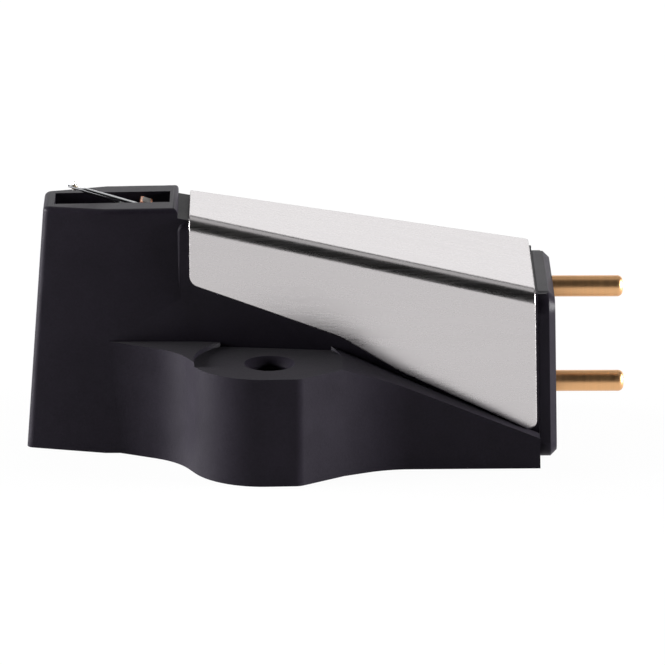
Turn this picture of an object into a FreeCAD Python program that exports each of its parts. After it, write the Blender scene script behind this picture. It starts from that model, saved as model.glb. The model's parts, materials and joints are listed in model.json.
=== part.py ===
"""Turntable stylus cartridge, two-terminal moving coil type, in millimetres.

The frame: the origin lies midway between the two mounting holes, in the flat mounting face.
+Z points from that face to the stylus side, -X to the stylus end and +X to the terminal pins.
The cartridge is symmetric about the plane Y = 0. It stands on its mounting face, stylus up.

The generator frame: its origin is the pivot of the stylus arm. Its x runs rearwards along the
arm, its z away from the body, and it is turned by the arm's tilt about Y.
"""
import FreeCAD, Part
import math
import os

import Sketcher

DOC = FreeCAD.newDocument("stylus_cartridge")

SIZES = [
    # mounting holes and ears
    ("mount_pitch", 12.7, "distance between the two mounting holes"),
    ("screw_hole_radius", 1.02, "mounting hole, inside its thread"),
    ("screw_hole_bevel", 0.4, "bevel round the mouth of a mounting hole"),
    ("seat_radius", 4.25, "round screw seat sunk into the top of an ear"),
    ("seat_depth", 0.26, "depth of the screw seat"),
    ("flange_height", 6.5, "height of the ears over the mounting face"),
    ("wing_start_x", -9.9, "where the wing starts, inside the nose"),
    ("wing_start_half", 2.58, "half width there"),
    ("wing_knee_x", -5.15, "where the wing turns out to the ear"),
    ("wing_knee_half", 4.95, "half width there"),
    ("ear_corner_x", -2.99, "front corner of the ear before rounding"),
    ("ear_reach", 3.23, "from the hole's centre to the ear's outer face"),
    ("ear_rear_x", 1.7, "rear corner of the ear's outer face"),
    ("ear_rear_reach", 3.01, "from the hole's centre to the ear's rear corner"),
    ("heel_x", 4.15, "where the ear's rear slant ends"),
    ("heel_half", 7.6, "half width there"),
    ("tail_x", 6.6, "where the flange turns parallel to the body"),
    ("heel_step", 1.18, "how far the flange draws in from the heel to the tail, on each side"),
    ("tail_taper", 0.17, "how far it draws in from there to the rear, on each side"),
    ("wing_knee_radius", 4.0, "rounding in the knee of the wing"),
    ("ear_corner_radius", 4.2, "rounding of the ear's front corner"),
    ("ear_rear_radius", 0.9, "rounding of the ear's rear corner"),
    ("tail_radius", 6.0, "rounding where the flange turns parallel"),
    ("slope_start_x", 3.4, "where the flange top starts to slope down"),
    ("slope_end_height", 1.75, "height of the flange top at the rear"),
    # nose
    ("nose_rise", 0.34, "how far the nose stands above the front of the cover"),
    ("nose_fall", 0.14, "how much the nose's top falls from its rear to its front"),
    ("nose_front_x", -13.77, "front of the nose at the mounting face"),
    ("nose_front_half", 2.18, "half width there"),
    ("nose_middle_x", -9.3, "where the nose's sides turn parallel, at the mounting face"),
    ("nose_half", 3.3, "half width of the nose from there on"),
    ("nose_root", 2.0, "how far the nose's base reaches into the tray"),
    ("nose_draft", 2.8, "lean of the nose's sides, in degrees"),
    ("nose_front_draft", 4.35, "lean of the nose's front, in degrees"),
    ("nose_front_radius", 0.45, "rounding of the nose's two front corners"),
    ("nose_rim_radius", 0.3, "rounding of the nose's top rim"),
    # slot in the nose
    ("slot_half", 1.12, "half width of the slot in the nose"),
    ("slot_front_x", -12.1, "front end of the slot"),
    ("slot_depth", 1.85, "depth of the slot under the stylus"),
    ("slot_rear_x", -5.6, "rear end of the slot's mouth"),
    ("slot_lip", 0.3, "thickness of the slot's rear lip above the generator"),
    ("window_half", 0.6, "half width of the passage behind the generator"),
    ("window_height", 0.8, "height of that passage"),
    ("window_end", 2.95, "how far behind the pivot the passage reaches"),
    # tray under the cover
    ("tray_front_x", -5.15, "front of the tray, a step behind the nose"),
    ("tray_edge_radius", 0.6, "rounding of the tray's two long top edges"),
    ("tray_corner_radius", 0.2, "rounding of the tray's two front corners"),
    ("tray_wall", 0.8, "wall of the tray"),
    ("tray_floor", 1.4, "thickness of the tray's floor"),
    ("tray_cavity_front_x", -4.2, "front end of the tray's hollow"),
    ("rear_x", 15.2, "rear end of the tray at the mounting face"),
    ("rear_lean", 1.2, "lean of the rear end, in degrees"),
    # folded cover
    ("cover_sheet", 0.3, "thickness of the cover's sheet"),
    ("cover_gap", 0.02, "glue line between the cover and the tray"),
    ("cover_bend", 0.81, "outer radius of the cover's two folds"),
    ("cover_front_x", -4.5, "front edge of the cover"),
    ("cover_front_half", 3.24, "half width of the cover at its front"),
    ("cover_front_height", 13.81, "height of the cover at its front"),
    ("cover_rear_x", 14.85, "rear edge of the cover, along its top"),
    ("cover_rear_half", 5.61, "half width of the cover at its rear"),
    ("cover_rear_height", 10.18, "height of the cover at its rear"),
    ("cover_edge_front", 9.92, "height of the cover's lower edge at its front"),
    ("cover_edge_bend_x", 4.0, "where the lower edge turns down"),
    ("cover_edge_bend_height", 7.1, "height of the lower edge there"),
    ("cover_edge_turn_x", 7.3, "where the lower edge flattens again"),
    ("cover_edge_turn_height", 5.2, "height of the lower edge there"),
    ("cover_edge_rear", 1.82, "height of the lower edge at the rear"),
    ("cover_edge_radius", 5.0, "radius of the two turns of the lower edge"),
    ("cover_front_corner", 0.65, "radius of the cover's lower front corners"),
    ("cover_rear_corner", 0.5, "radius of the cover's lower rear corners"),
    # rear plate and terminal pins
    ("plate_gap", 0.03, "glue line between the tray and the rear plate"),
    ("plate_thickness", 0.97, "thickness of the rear plate"),
    ("plate_half", 4.98, "half width of the rear plate"),
    ("plate_bottom", 0.03, "lower edge of the rear plate"),
    ("plate_top", 9.72, "upper edge of the rear plate"),
    ("plate_corner", 1.1, "rounding of the rear plate's corners"),
    ("plate_bevel", 0.36, "bevel round the rear plate's outer face"),
    ("spigot_depth", 0.6, "how far the rear plate reaches into the tray"),
    ("spigot_gap", 0.06, "clearance round the part that reaches in"),
    ("pin_radius", 0.6, "radius of a terminal pin"),
    ("pin_root_radius", 0.42, "radius of a pin's root, pressed into the plate"),
    ("pin_reach", 4.0, "how far a pin stands out of the rear plate"),
    ("pin_tip_radius", 0.3, "rounding of a pin's tip"),
    ("pin_tail_radius", 0.35, "radius of a pin's solder tail"),
    ("pin_tail_length", 1.2, "length of a pin's solder tail"),
    ("upper_pin_height", 8.82, "height of the upper pin's axis"),
    ("lower_pin_height", 3.2, "height of the lower pin's axis"),
    # generator
    ("pivot_x", -6.7, "pivot of the stylus arm"),
    ("pivot_depth", 0.786, "from the nose's top down to the pivot"),
    ("arm_tilt", 17.4, "tilt of the stylus arm, in degrees"),
    ("yoke_half", 1.07, "half width of the yokes and the magnet"),
    ("yoke_foot", 4.0, "from the arm's axis down to the generator's foot"),
    ("generator_gap", 0.03, "clearance of the generator in its well"),
    ("front_yoke_front", 1.75, "from the pivot forwards to the front yoke's face"),
    ("front_yoke_thickness", 0.45, "thickness of the front yoke"),
    ("front_yoke_top", 0.1, "from the arm's axis down to the front yoke's tips"),
    ("front_notch_half", 0.5, "half width of the notch that the arm passes through"),
    ("front_notch_depth", 0.4, "depth of that notch"),
    ("magnet_top", 1.15, "from the arm's axis down to the magnet"),
    ("rear_yoke_front", 0.9, "from the pivot back to the rear yoke"),
    ("rear_yoke_thickness", 0.4, "thickness of the rear yoke"),
    ("rear_yoke_top", 0.3, "from the arm's axis up to the rear yoke's top"),
    ("pole_radius", 0.5, "radius of the rear pole"),
    ("pole_length", 0.45, "length of the rear pole"),
    ("sleeve_radius", 0.2, "outer radius of the tie wire's sleeve"),
    ("sleeve_bore", 0.08, "bore radius of that sleeve"),
    ("sleeve_front", 0.6, "from the pivot back to the sleeve"),
    ("sleeve_length", 1.8, "length of the sleeve"),
    ("sleeve_gap", 0.01, "running clearance of the sleeve in yoke and pole"),
    ("wire_radius", 0.05, "radius of the tie wire"),
    ("wire_front", 0.35, "how far the tie wire reaches into the coil former"),
    ("wire_rear", 0.25, "how far the tie wire stands out behind its sleeve"),
    ("setscrew_radius", 0.15, "radius of the set screw in the rear yoke"),
    ("setscrew_slot", 0.06, "width and depth of its slot"),
    ("damper_radius", 0.48, "outer radius of the damper ring"),
    ("damper_bore", 0.12, "bore radius of the damper ring"),
    ("damper_front", 0.08, "from the pivot back to the damper ring"),
    ("damper_length", 0.29, "thickness of the damper ring"),
    # stylus arm
    ("former_half", 0.5, "half width and half height of the coil former"),
    ("former_front", 0.6, "from the pivot forwards to the former's face"),
    ("former_rear", 0.15, "from the pivot forwards to the former's back"),
    ("former_bore", 0.11, "bore radius of the coil former"),
    ("hub_radius", 0.19, "radius of the hub behind the coil former"),
    ("winding_build", 0.12, "how thick the winding lies on the former"),
    ("winding_height", 0.24, "height of each half of the winding"),
    ("winding_offset", 0.34, "from the arm's axis to the middle of each half"),
    ("arm_rear_radius", 0.2, "radius of the cantilever at the coil former"),
    ("arm_front_radius", 0.15, "radius of the cantilever behind its flat tip"),
    ("arm_bore", 0.1, "bore radius of the cantilever"),
    ("arm_tube_end", 4.25, "from the pivot forwards to the end of the tube"),
    ("arm_tip_end", 4.93, "from the pivot forwards to the end of the flat tip"),
    ("arm_tip_half", 0.19, "half width of the flat tip"),
    ("arm_tip_thickness", 0.14, "thickness of the flat tip"),
    ("stylus_x", -10.99, "the stylus's axis"),
    ("stylus_rise", 0.562, "from the cantilever's axis up to the stylus's point"),
    ("stylus_radius", 0.11, "radius of the stylus's shank"),
    ("stylus_gap", 0.01, "glue line between the shank and the cantilever"),
    ("stylus_cone", 0.4, "length of the diamond point"),
    ("stylus_point_radius", 0.012, "radius at the diamond's end"),
    ("shank_length", 0.34, "length of the stylus's shank"),
    # inner leads
    ("lead_radius", 0.08, "radius of an inner lead"),
    ("lead_bend", 1.6, "radius of an inner lead's bends"),
    ("lead_start", 2.3, "from the pivot back to the inner leads' front ends"),
    ("lead_start_half", 0.34, "half the distance between the leads there"),
    ("lead_turn", 1.6, "from the front of the tray's hollow to the leads' first bend"),
    ("lead_turn_half", 0.7, "half the distance between the leads there"),
    ("lead_turn_drop", 2.0, "how far that bend lies below the pivot"),
    ("lead_slack", 1.2, "how far a lead lies off the middle on its way to a pin"),
    ("lead_rest", 6.0, "from a pin's tail forwards to the lead's second bend"),
]

# Drawing helpers

ORIGIN_DIRECTIONS = {"X": FreeCAD.Vector(1, 0, 0), "Y": FreeCAD.Vector(0, 1, 0), "Z": FreeCAD.Vector(0, 0, 1)}
BEYOND = 3.0


def make_sheet():
    """Put every driving size into the spreadsheet, one row each, under its own alias."""
    sheet = DOC.addObject("Spreadsheet::Sheet", "Sizes")
    for row, (alias, value, note) in enumerate(SIZES, start=1):
        sheet.set("A%d" % row, note)
        sheet.set("B%d" % row, str(value))
        sheet.setAlias("B%d" % row, alias)
    DOC.recompute()
    return sheet


SHEET = make_sheet()


def size(alias):
    """The number that a cell of the sheet holds."""
    return float(SHEET.get(alias))


def cell(alias):
    """The name of a cell, as an expression uses it."""
    return "Sizes." + alias


def new_body(label):
    body = DOC.addObject("PartDesign::Body", label)
    body.Label = label
    return body


def new_sketch(body, plane, name, offset="0"):
    """An empty sketch on one of the body's own origin planes, moved along its normal."""
    planes = {feature.Role: feature for feature in body.Origin.OriginFeatures}
    sketch = body.newObject("Sketcher::SketchObject", name)
    sketch.AttachmentSupport = (planes[plane], [""])
    sketch.MapMode = "FlatFace"
    sketch.setExpression("AttachmentOffset.Base.z", offset)
    return sketch


def add_polygon(sketch, points):
    """A closed outline of straight sides. Each corner is a pair of expressions."""
    first = sketch.GeometryCount
    count = len(points)
    start = [FreeCAD.Vector(math.cos(2 * math.pi * i / count), math.sin(2 * math.pi * i / count), 0)
             for i in range(count)]
    for i in range(count):
        sketch.addGeometry(Part.LineSegment(start[i], start[(i + 1) % count]))
    for i in range(count):
        following = first + (i + 1) % count
        sketch.addConstraint(Sketcher.Constraint("Coincident", first + i, 2, following, 1))
    for i, (across, up) in enumerate(points):
        bind(sketch, Sketcher.Constraint("DistanceX", -1, 1, first + i, 1, start[i].x), across)
        bind(sketch, Sketcher.Constraint("DistanceY", -1, 1, first + i, 1, start[i].y), up)


def add_circle(sketch, across, up, radius):
    """A circle whose centre and radius are expressions."""
    number = sketch.addGeometry(Part.Circle(FreeCAD.Vector(0.5, 0.5, 0), FreeCAD.Vector(0, 0, 1), 1))
    bind(sketch, Sketcher.Constraint("DistanceX", -1, 1, number, 3, 0.5), across)
    bind(sketch, Sketcher.Constraint("DistanceY", -1, 1, number, 3, 0.5), up)
    bind(sketch, Sketcher.Constraint("Radius", number, 1.0), radius)


def bind(sketch, constraint, expression):
    number = sketch.addConstraint(constraint)
    sketch.setExpression("Constraints[%d]" % number, expression)


def mirrored(points):
    """The near side's corners, then the far side's in the opposite order."""
    near = [(x, "-(%s)" % half) for x, half in points]
    far = [(x, half) for x, half in reversed(points)]
    return near + far


def add_pad(body, sketch, name, length, both_ways=False, backwards=False):
    pad = body.newObject("PartDesign::Pad", name)
    pad.Profile = sketch
    pad.setExpression("Length", length)
    pad.SideType = "Symmetric" if both_ways else "One side"
    pad.Reversed = backwards
    return pad


def add_pocket(body, sketch, name, length, both_ways=False, backwards=False):
    """A pocket, which has to take material away."""
    before = body.Shape.Volume
    pocket = body.newObject("PartDesign::Pocket", name)
    pocket.Profile = sketch
    pocket.setExpression("Length", length)
    pocket.SideType = "Symmetric" if both_ways else "One side"
    pocket.Reversed = backwards
    DOC.recompute()
    if not body.Shape.Volume < before:
        raise RuntimeError("the pocket %s cuts nothing" % name)
    return pocket


def edges_where(feature, test):
    """The names of the edges that pass the test."""
    return ["Edge%d" % number for number, edge in enumerate(feature.Shape.Edges, start=1) if test(edge)]


def add_rounding(body, name, base, edges, radius, kind="Fillet"):
    """Round, or bevel, some edges of the body's last feature."""
    rounding = body.newObject("PartDesign::" + kind, name)
    rounding.Base = (base, edges)
    rounding.setExpression("Radius" if kind == "Fillet" else "Size", radius)
    DOC.recompute()
    return rounding


def runs_along(edge, axis):
    """Whether the edge is straight and parallel to the axis."""
    if edge.Degenerated or edge.Curve.TypeId != "Part::GeomLine":
        return False
    return abs(abs(edge.tangentAt(edge.FirstParameter).dot(ORIGIN_DIRECTIONS[axis])) - 1) < 1e-6


def is_circle(edge, radius):
    if edge.Degenerated or edge.Curve.TypeId != "Part::GeomCircle":
        return False
    return abs(edge.Curve.Radius - radius) < 1e-4


def near_point(edge, x=None, y=None, z=None, reach=0.02):
    """Whether the edge's middle has the given coordinates, leaving out those that aren't given."""
    middle = edge.CenterOfMass
    wanted = [(middle.x, x), (middle.y, y), (middle.z, z)]
    return all(there is None or abs(here - there) < reach for here, there in wanted)


# Shared lines of the model, as expressions

NOSE_TOP = "(Sizes.cover_front_height + Sizes.nose_rise)"
PIVOT_HEIGHT = "(%s - Sizes.pivot_depth)" % NOSE_TOP
ARM_HEIGHT_AT_STYLUS = "(%s + (Sizes.pivot_x - Sizes.stylus_x) * tan(Sizes.arm_tilt))" % PIVOT_HEIGHT
STYLUS_TIP = "(%s + Sizes.stylus_rise)" % ARM_HEIGHT_AT_STYLUS
STYLUS_SHOULDER = "(%s - Sizes.stylus_cone)" % STYLUS_TIP


def number(expression):
    """The value of an expression over the sheet's cells."""
    return float(SHEET.evalExpression(expression))


def rear_at(height):
    """Where the leaning rear end of the tray lies at a height."""
    return "(%s - (%s) * tan(%s))" % (cell("rear_x"), height, cell("rear_lean"))


def cover_half_at(x):
    """The cover's half width at a place along the body."""
    slope = "(Sizes.cover_rear_half - Sizes.cover_front_half) / (Sizes.cover_rear_x - Sizes.cover_front_x)"
    return "(Sizes.cover_front_half + ((%s) - Sizes.cover_front_x) * %s)" % (x, slope)


def cover_height_at(x):
    """The height of the cover's top at a place along the body."""
    slope = "(Sizes.cover_rear_height - Sizes.cover_front_height) / (Sizes.cover_rear_x - Sizes.cover_front_x)"
    return "(Sizes.cover_front_height + ((%s) - Sizes.cover_front_x) * %s)" % (x, slope)


def tray_half_at(x):
    return "(%s - Sizes.cover_sheet - Sizes.cover_gap)" % cover_half_at(x)


def tray_height_at(x):
    return "(%s - Sizes.cover_sheet - Sizes.cover_gap)" % cover_height_at(x)


def arm_x(back, up):
    """The body's x of a point of the generator frame."""
    tilt = cell("arm_tilt")
    return "(Sizes.pivot_x + (%s) * cos(%s) + (%s) * sin(%s))" % (back, tilt, up, tilt)


def arm_z(back, up):
    """The body's z of a point of the generator frame."""
    tilt = cell("arm_tilt")
    return "(%s - (%s) * sin(%s) + (%s) * cos(%s))" % (PIVOT_HEIGHT, back, tilt, up, tilt)


def arm_point(back, up):
    return (arm_x(back, up), arm_z(back, up))


# The black moulding

def ear_outline():
    """The flange with its two ears, seen from above."""
    hole = "Sizes.mount_pitch / 2"
    return mirrored([
        ("Sizes.wing_start_x", "Sizes.wing_start_half"),
        ("Sizes.wing_knee_x", "Sizes.wing_knee_half"),
        ("Sizes.ear_corner_x", hole + " + Sizes.ear_reach"),
        ("Sizes.ear_rear_x", hole + " + Sizes.ear_rear_reach"),
        ("Sizes.heel_x", "Sizes.heel_half"),
        ("Sizes.tail_x", "Sizes.heel_half - Sizes.heel_step"),
        ("Sizes.rear_x + %g" % BEYOND, "Sizes.heel_half - Sizes.heel_step - Sizes.tail_taper"),
    ])


def round_ears(body, pad):
    """Round the upright edges of the flange, each with its own radius."""
    hole = size("mount_pitch") / 2
    corners = [
        ("wing_knee", size("wing_knee_x"), size("wing_knee_half")),
        ("ear_corner", size("ear_corner_x"), hole + size("ear_reach")),
        ("ear_rear", size("ear_rear_x"), hole + size("ear_rear_reach")),
        ("tail", size("tail_x"), size("heel_half") - size("heel_step")),
    ]
    last = pad
    for name, x, half in corners:
        edges = edges_where(last, lambda edge: runs_along(edge, "Z") and (
            near_point(edge, x=x, y=half) or near_point(edge, x=x, y=-half)))
        last = add_rounding(body, name + "_rounding", last, edges, cell(name + "_radius"))


def add_flange(body):
    outline = new_sketch(body, "XY_Plane", "flange_outline")
    add_polygon(outline, ear_outline())
    pad = add_pad(body, outline, "flange", cell("flange_height"))
    DOC.recompute()
    round_ears(body, pad)
    above = "Sizes.flange_height + %g" % BEYOND
    behind = "Sizes.rear_x + %g" % (2 * BEYOND)
    fall = "(Sizes.flange_height - Sizes.slope_end_height) / (Sizes.rear_x - Sizes.slope_start_x)"
    slope = new_sketch(body, "XZ_Plane", "flange_slope_outline")
    add_polygon(slope, [
        ("Sizes.slope_start_x", "Sizes.flange_height"),
        (behind, "Sizes.slope_end_height - %g * %s" % (2 * BEYOND, fall)),
        (behind, above),
        ("Sizes.slope_start_x", above),
    ])
    add_pocket(body, slope, "flange_slope", "2 * Sizes.mount_pitch", both_ways=True)
    seats = new_sketch(body, "XY_Plane", "screw_seat_outline", "Sizes.flange_height")
    for side in ("", "-"):
        add_circle(seats, "0", side + "Sizes.mount_pitch / 2", cell("seat_radius"))
    add_pocket(body, seats, "screw_seats", cell("seat_depth"))


def add_nose(body):
    """The nose's front and sides all lean in towards its top, which falls a little to the front."""
    rear = "Sizes.tray_front_x + Sizes.nose_root"
    outline = new_sketch(body, "XY_Plane", "nose_outline")
    add_polygon(outline, mirrored([
        ("Sizes.nose_front_x", "Sizes.nose_front_half"),
        ("Sizes.nose_middle_x", "Sizes.nose_half"),
        (rear, "Sizes.nose_half"),
    ]))
    pad = add_pad(body, outline, "nose", NOSE_TOP + " + Sizes.nose_fall")
    pad.setExpression("TaperAngle", "-Sizes.nose_draft")
    DOC.recompute()
    above = "(%s + %g)" % (NOSE_TOP, BEYOND)
    ahead = "Sizes.nose_front_x - %g" % BEYOND
    lean = "tan(Sizes.nose_front_draft)"
    front = new_sketch(body, "XZ_Plane", "nose_front_outline")
    add_polygon(front, [
        ("Sizes.nose_front_x - " + lean, "-1"), ("Sizes.nose_front_x + %s * %s" % (above, lean), above),
        (ahead, above), (ahead, "-1"),
    ])
    add_pocket(body, front, "nose_front", "2 * Sizes.mount_pitch", both_ways=True)
    far = "Sizes.rear_x + %g" % BEYOND
    top = new_sketch(body, "XZ_Plane", "nose_top_outline")
    add_polygon(top, [
        ("Sizes.nose_front_x", NOSE_TOP + " - Sizes.nose_fall"), ("Sizes.tray_front_x", NOSE_TOP),
        ("Sizes.tray_front_x", tray_height_at("Sizes.tray_front_x")), (far, tray_height_at(far)),
        (far, above), ("Sizes.nose_front_x", above),
    ])
    add_pocket(body, top, "nose_top", "2 * Sizes.mount_pitch", both_ways=True)


def tray_outline(inset, front):
    """The tray seen from above, from its front to beyond its rear end, less an inset."""
    behind = "Sizes.rear_x + %g" % BEYOND
    return mirrored([
        (front, "%s - %s" % (tray_half_at(front), inset)),
        (behind, "%s - %s" % (tray_half_at(behind), inset)),
    ])


def add_tray(body):
    """A tapering block behind the nose."""
    outline = new_sketch(body, "XY_Plane", "tray_outline")
    add_polygon(outline, tray_outline("0", cell("tray_front_x")))
    add_pad(body, outline, "tray", NOSE_TOP)
    DOC.recompute()


def trim_tray(body):
    """Cut the tray's sloping top and its leaning rear end."""
    above = "%s + %g" % (NOSE_TOP, BEYOND)
    far = "Sizes.rear_x + %g" % (3 * BEYOND)
    top = new_sketch(body, "XZ_Plane", "tray_top_outline")
    add_polygon(top, [("Sizes.tray_front_x", tray_height_at("Sizes.tray_front_x")),
                      (far, tray_height_at(far)), (far, above), ("Sizes.tray_front_x", above)])
    add_pocket(body, top, "tray_top", "2 * Sizes.mount_pitch", both_ways=True)
    end = new_sketch(body, "XZ_Plane", "rear_end_outline")
    add_polygon(end, [(rear_at("-1"), "-1"), (far, "-1"), (far, above), (rear_at(above), above)])
    add_pocket(body, end, "rear_end", "2 * Sizes.mount_pitch", both_ways=True)


def round_tray(body):
    """Soften the tray's front and long edges."""
    last = body.Tip
    corners = edges_where(last, lambda edge: runs_along(edge, "Z") and edge.Length > BEYOND and
                          near_point(edge, x=size("tray_front_x")) and
                          edge.BoundBox.ZMax > size("cover_front_height") - 0.5)
    last = add_rounding(body, "tray_front_rounding", last, corners, cell("tray_corner_radius"))
    tops = edges_where(last, lambda edge: edge.BoundBox.XLength > size("mount_pitch") and
                       edge.BoundBox.ZMax > size("cover_rear_height") + 1 and
                       abs(edge.CenterOfMass.y) > size("slot_half"))
    add_rounding(body, "tray_edge_rounding", last, tops, cell("tray_edge_radius"))


def round_nose(body):
    """Soften the nose's front corners and its rim."""
    last = body.Tip
    fronts = edges_where(last, lambda edge: edge.BoundBox.ZLength > number(NOSE_TOP) - 0.5 and
                         edge.CenterOfMass.x < size("nose_middle_x") - 1)
    last = add_rounding(body, "nose_front_rounding", last, fronts, cell("nose_front_radius"))
    lowest = number(NOSE_TOP) - size("nose_fall") - size("nose_rim_radius") / 10
    rim = edges_where(last, lambda edge: edge.BoundBox.ZMin > lowest)
    add_rounding(body, "nose_rim_rounding", last, rim, cell("nose_rim_radius"))


def add_hollows(body):
    """The tray's hollow, the slot and generator well in the nose, and the passage between them."""
    above = "%s + %g" % (NOSE_TOP, BEYOND)
    hollow = new_sketch(body, "XY_Plane", "tray_hollow_outline", above)
    add_polygon(hollow, tray_outline("Sizes.tray_wall", cell("tray_cavity_front_x")))
    add_pocket(body, hollow, "tray_hollow", above + " - Sizes.tray_floor")
    front = "-(Sizes.front_yoke_front + Sizes.generator_gap)"
    back = "Sizes.rear_yoke_front + Sizes.rear_yoke_thickness + Sizes.generator_gap"
    foot = "-(Sizes.yoke_foot)"
    floor = "%s - Sizes.slot_depth" % NOSE_TOP
    # how far above the arm's axis the front of the well meets the slot's floor
    floor_up = "(%s - %s + (%s) * sin(Sizes.arm_tilt)) / cos(Sizes.arm_tilt)" % (floor, PIVOT_HEIGHT, front)
    well = new_sketch(body, "XZ_Plane", "well_outline")
    add_polygon(well, [
        ("Sizes.slot_front_x", above),
        ("Sizes.slot_front_x", floor),
        (arm_x(front, floor_up), floor),
        arm_point(front, foot),
        arm_point(back, foot),
        arm_point(back, "Sizes.rear_yoke_top + Sizes.generator_gap"),
        ("Sizes.slot_rear_x", "%s - Sizes.slot_lip" % NOSE_TOP),
        ("Sizes.slot_rear_x", above),
    ])
    add_pocket(body, well, "generator_well", "2 * Sizes.slot_half", both_ways=True)
    half = "Sizes.window_height / 2"
    window = new_sketch(body, "XZ_Plane", "passage_outline")
    add_polygon(window, [
        arm_point("Sizes.rear_yoke_front", "-" + half),
        arm_point("Sizes.window_end", "-" + half),
        arm_point("Sizes.window_end", half),
        arm_point("Sizes.rear_yoke_front", half),
    ])
    add_pocket(body, window, "passage", "2 * Sizes.window_half", both_ways=True)


def add_screw_holes(body):
    holes = new_sketch(body, "XY_Plane", "screw_hole_outline")
    for side in ("", "-"):
        add_circle(holes, "0", side + "Sizes.mount_pitch / 2", cell("screw_hole_radius"))
    pocket = add_pocket(body, holes, "screw_holes", "2 * Sizes.flange_height", both_ways=True)
    seat = size("flange_height") - size("seat_depth")
    mouths = edges_where(pocket, lambda edge: is_circle(edge, size("screw_hole_radius")) and
                         (near_point(edge, z=0) or near_point(edge, z=seat)))
    add_rounding(body, "screw_hole_mouths", pocket, mouths, cell("screw_hole_bevel"), kind="Chamfer")


def make_body_shell():
    body = new_body("body_shell")
    add_flange(body)
    add_tray(body)
    trim_tray(body)
    round_tray(body)
    add_nose(body)
    round_nose(body)
    add_hollows(body)
    add_screw_holes(body)
    return body


# The folded cover

def is_fold(edge):
    """Whether the edge runs along the body at the cover's height."""
    return edge.BoundBox.XLength > BEYOND and abs(edge.BoundBox.ZMax - size("cover_front_height")) < 1e-3


def make_cover():
    """A block as wide and as high as the cover, folded edges rounded, then hollowed to a sheet."""
    body = new_body("cover")
    side = new_sketch(body, "XZ_Plane", "cover_side_outline")
    behind = "Sizes.cover_rear_x + %g" % BEYOND
    add_polygon(side, [
        ("Sizes.cover_front_x", "0"), (behind, "0"),
        (behind, cover_height_at(behind)), ("Sizes.cover_front_x", "Sizes.cover_front_height"),
    ])
    add_pad(body, side, "cover_block", "3 * Sizes.cover_rear_half", both_ways=True)
    DOC.recompute()
    ahead = "Sizes.cover_front_x - %g" % BEYOND
    far = "Sizes.cover_rear_x + %g" % (2 * BEYOND)
    plan = new_sketch(body, "XY_Plane", "cover_taper_outline")
    for sign in ("", "-"):
        add_polygon(plan, [
            (ahead, sign + cover_half_at(ahead)), (far, sign + cover_half_at(far)),
            (far, sign + "3 * Sizes.cover_rear_half"), (ahead, sign + "3 * Sizes.cover_rear_half"),
        ])
    taper = add_pocket(body, plan, "cover_taper", "3 * Sizes.cover_front_height", both_ways=True)
    folded = add_rounding(body, "cover_folds", taper, edges_where(taper, is_fold), cell("cover_bend"))
    hollow = body.newObject("PartDesign::Thickness", "cover_sheet")
    open_faces = ["Face%d" % number for number, face in enumerate(folded.Shape.Faces, start=1)
                  if face.BoundBox.XLength < 1e-6 or face.BoundBox.ZLength < 1e-6]
    hollow.Base = (folded, open_faces)
    hollow.setExpression("Value", cell("cover_sheet"))
    hollow.Reversed = True
    hollow.Join = 0
    DOC.recompute()
    trim_cover(body)
    return body


def trim_cover(body):
    """Cut the lower edge and the leaning rear edge, and round their corners."""
    ahead = "Sizes.cover_front_x - %g" % BEYOND
    far = "Sizes.cover_rear_x + %g" % (3 * BEYOND)
    above = "Sizes.cover_front_height + %g" % BEYOND
    rear_low = "(Sizes.cover_rear_x + (Sizes.cover_rear_height - Sizes.cover_edge_rear) * tan(Sizes.rear_lean))"
    rear_high = "(Sizes.cover_rear_x - (%s - Sizes.cover_rear_height) * tan(Sizes.rear_lean))" % above
    outline = new_sketch(body, "XZ_Plane", "cover_trim_outline")
    corners = [
        (ahead, "-1"),
        (ahead, "Sizes.cover_edge_front"),
        ("Sizes.cover_front_x", "Sizes.cover_edge_front"),
        ("Sizes.cover_edge_bend_x", "Sizes.cover_edge_bend_height"),
        ("Sizes.cover_edge_turn_x", "Sizes.cover_edge_turn_height"),
        (rear_low, "Sizes.cover_edge_rear"),
        (rear_high, above),
        (far, above),
        (far, "-1"),
    ]
    add_polygon(outline, corners)
    trim = add_pocket(body, outline, "cover_trim", "3 * Sizes.cover_rear_half", both_ways=True)
    turns = [("cover_edge_bend_x", "cover_edge_bend_height"), ("cover_edge_turn_x", "cover_edge_turn_height")]
    last = trim
    for number, (x, z) in enumerate(turns, start=1):
        edges = edges_where(last, lambda edge: near_point(edge, x=size(x), z=size(z)))
        last = add_rounding(body, "lower_edge_turn_%d" % number, last, edges, cell("cover_edge_radius"))
    front = edges_where(last, lambda edge: near_point(edge, x=size("cover_front_x"), z=size("cover_edge_front")))
    last = add_rounding(body, "front_corners", last, front, cell("cover_front_corner"))
    rear = edges_where(last, lambda edge: near_point(edge, z=size("cover_edge_rear")) and
                       edge.CenterOfMass.x > size("cover_rear_x"))
    add_rounding(body, "rear_corners", last, rear, cell("cover_rear_corner"))


# The rear plate and its pins

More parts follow.
